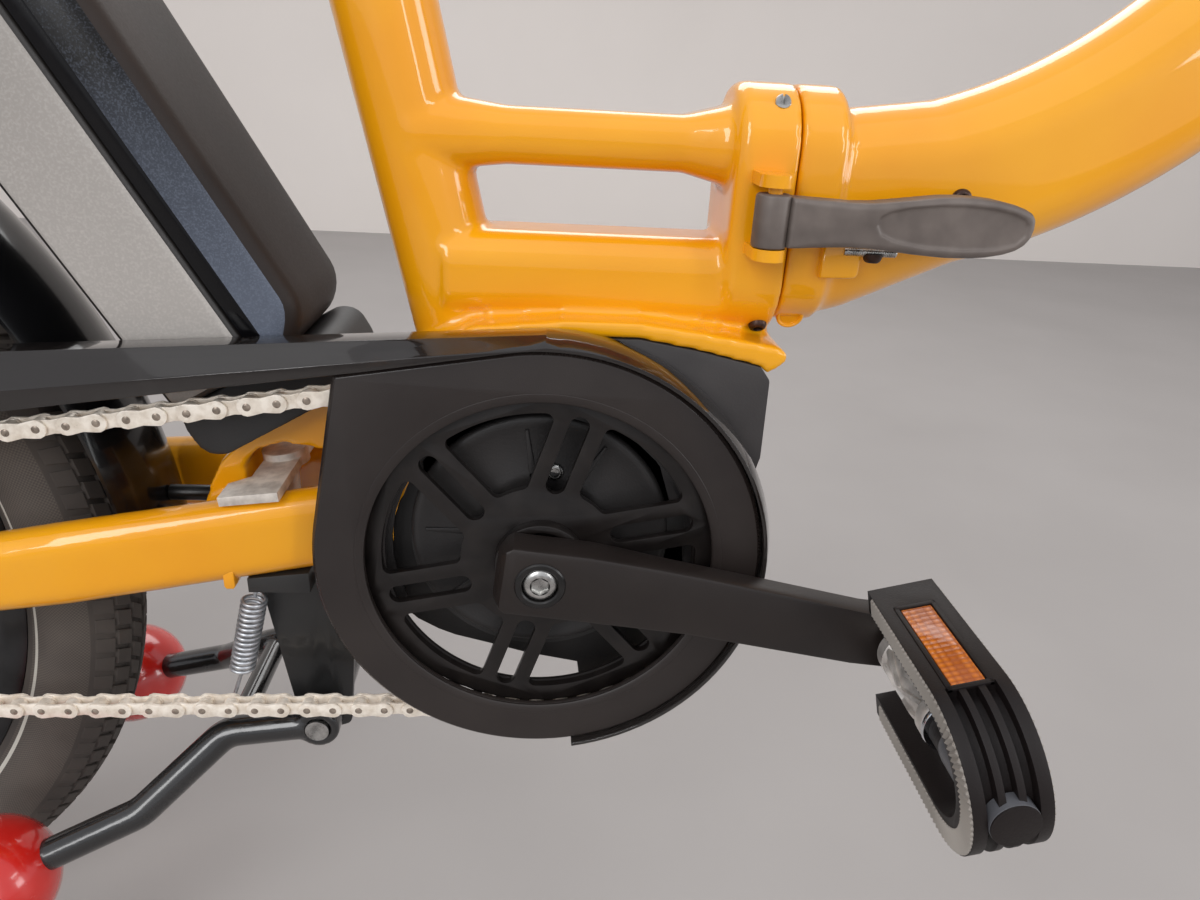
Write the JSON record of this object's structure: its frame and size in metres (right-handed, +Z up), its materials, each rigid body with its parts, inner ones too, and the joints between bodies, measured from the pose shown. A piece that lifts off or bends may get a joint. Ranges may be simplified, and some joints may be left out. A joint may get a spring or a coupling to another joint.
{
  "type": "folding electric bicycle rear and centre section",
  "caption": "Hinged frame section of a folding electric bicycle with motor, battery, guarded chain drive, cranks, rear wheel, mudguard and centre stand.",
  "frame": {"origin": "centre of the seat tube's mouth, where the seat post goes in", "axes": "+X forward, towards the head tube; +Y to the rider's left; +Z up, with the bicycle level"},
  "size_m": [1.2525, 0.388, 0.7666],
  "materials": {
    "frame_paint": "glossy",
    "black_metal": "satin black",
    "steel": "plain",
    "grey_forging": "satin dark grey",
    "motor_plastic": "matte",
    "black_plastic": "matte",
    "chain_steel": "nickel plated",
    "guard_plastic": "fine grain",
    "smoked_plastic": "smoked, see-through",
    "cast_aluminium": "cast",
    "amber_reflector": "prism reflector",
    "tyre": "moulded",
    "rim_black": "black anodised",
    "hub_metal": "black anodised",
    "mudguard_black": "glossy",
    "battery_panel": "grained silver",
    "battery_gloss": "gloss black",
    "battery_plastic": "fine grain",
    "stand_black": "gloss black",
    "red_rubber": "glossy moulded"
  },
  "bodies": {
    "rear_frame": {"seat_tube": "frame_paint", "seat_clamp": "black_metal", "upper_bridge": "frame_paint", "lower_bridge": "frame_paint", "hinge_plate_rear": "frame_paint", "hinge_pin": "steel", "lever_lug": "frame_paint", "motor_cradle": "frame_paint", "battery_tray": "frame_paint", "chainstay_right": "frame_paint", "chainstay_left": "frame_paint", "stay_bridge": "frame_paint", "dropout_right": "frame_paint", "dropout_left": "frame_paint", "motor_housing": "motor_plastic", "guard_carrier": "black_plastic", "chain": "chain_steel", "guard_plate": "guard_plastic", "guard_cover": "smoked_plastic", "rear_axle": "steel", "mudguard": "mudguard_black", "mudguard_stays": "black_metal", "battery_case": "battery_panel", "battery_band": "battery_gloss", "battery_front": "battery_plastic", "battery_dock": "black_plastic", "stand_bracket": "black_metal", "stand_clamp": "cast_aluminium", "stand_axle": "steel", "stand_spring": "steel"},
    "front_frame": {"hinge_plate_front": "frame_paint", "main_tube": "frame_paint", "head_tube": "frame_paint"},
    "fold_lever": {"hinge_lever": "grey_forging"},
    "crankset": {"crank_spindle": "steel", "chain_ring": "black_metal", "spider_lockring": "black_metal", "crank_right": "black_metal", "crank_left": "black_metal", "crank_bolt_right": "steel", "crank_bolt_left": "steel"},
    "pedal_right": {"pedal_cage_right": "black_plastic", "pedal_barrel_right": "cast_aluminium", "pedal_reflectors_right": "amber_reflector"},
    "pedal_left": {"pedal_cage_left": "black_plastic", "pedal_barrel_left": "cast_aluminium", "pedal_reflectors_left": "amber_reflector"},
    "rear_wheel": {"tyre": "tyre", "rim": "rim_black", "hub": "hub_metal", "sprocket": "chain_steel"},
    "stand": {"stand_legs": "stand_black", "stand_feet": "red_rubber"}
  },
  "joints": [
    {"name": "frame_fold", "type": "hinge", "parent": "rear_frame", "child": "front_frame", "pos_m": [0.21008, 0.04, -0.23552], "axis": [0, 0, 1], "range_deg": [0, 170]},
    {"name": "lever_swing", "type": "hinge", "parent": "rear_frame", "child": "fold_lever", "pos_m": [0.19708, -0.044, -0.23252], "axis": [0, 0, -1], "range_deg": [0, 120]},
    {"name": "crank_spin", "type": "hinge", "parent": "rear_frame", "child": "crankset", "pos_m": [0.10508, 0, -0.39052], "axis": [0, 1, 0], "continuous": true},
    {"name": "pedal_right_spin", "type": "hinge", "parent": "crankset", "child": "pedal_right", "pos_m": [0.26792, -0.0945, -0.40994], "axis": [0, 1, 0], "continuous": true},
    {"name": "pedal_left_spin", "type": "hinge", "parent": "crankset", "child": "pedal_left", "pos_m": [-0.05777, 0.0945, -0.3711], "axis": [0, 1, 0], "continuous": true},
    {"name": "rear_wheel_spin", "type": "hinge", "parent": "rear_frame", "child": "rear_wheel", "pos_m": [-0.36243, 0, -0.42518], "axis": [0, 1, 0], "continuous": true},
    {"name": "stand_swing", "type": "hinge", "parent": "rear_frame", "child": "stand", "pos_m": [-0.00792, 0, -0.50052], "axis": [0, -1, 0], "range_deg": [0, 80]}
  ]
}
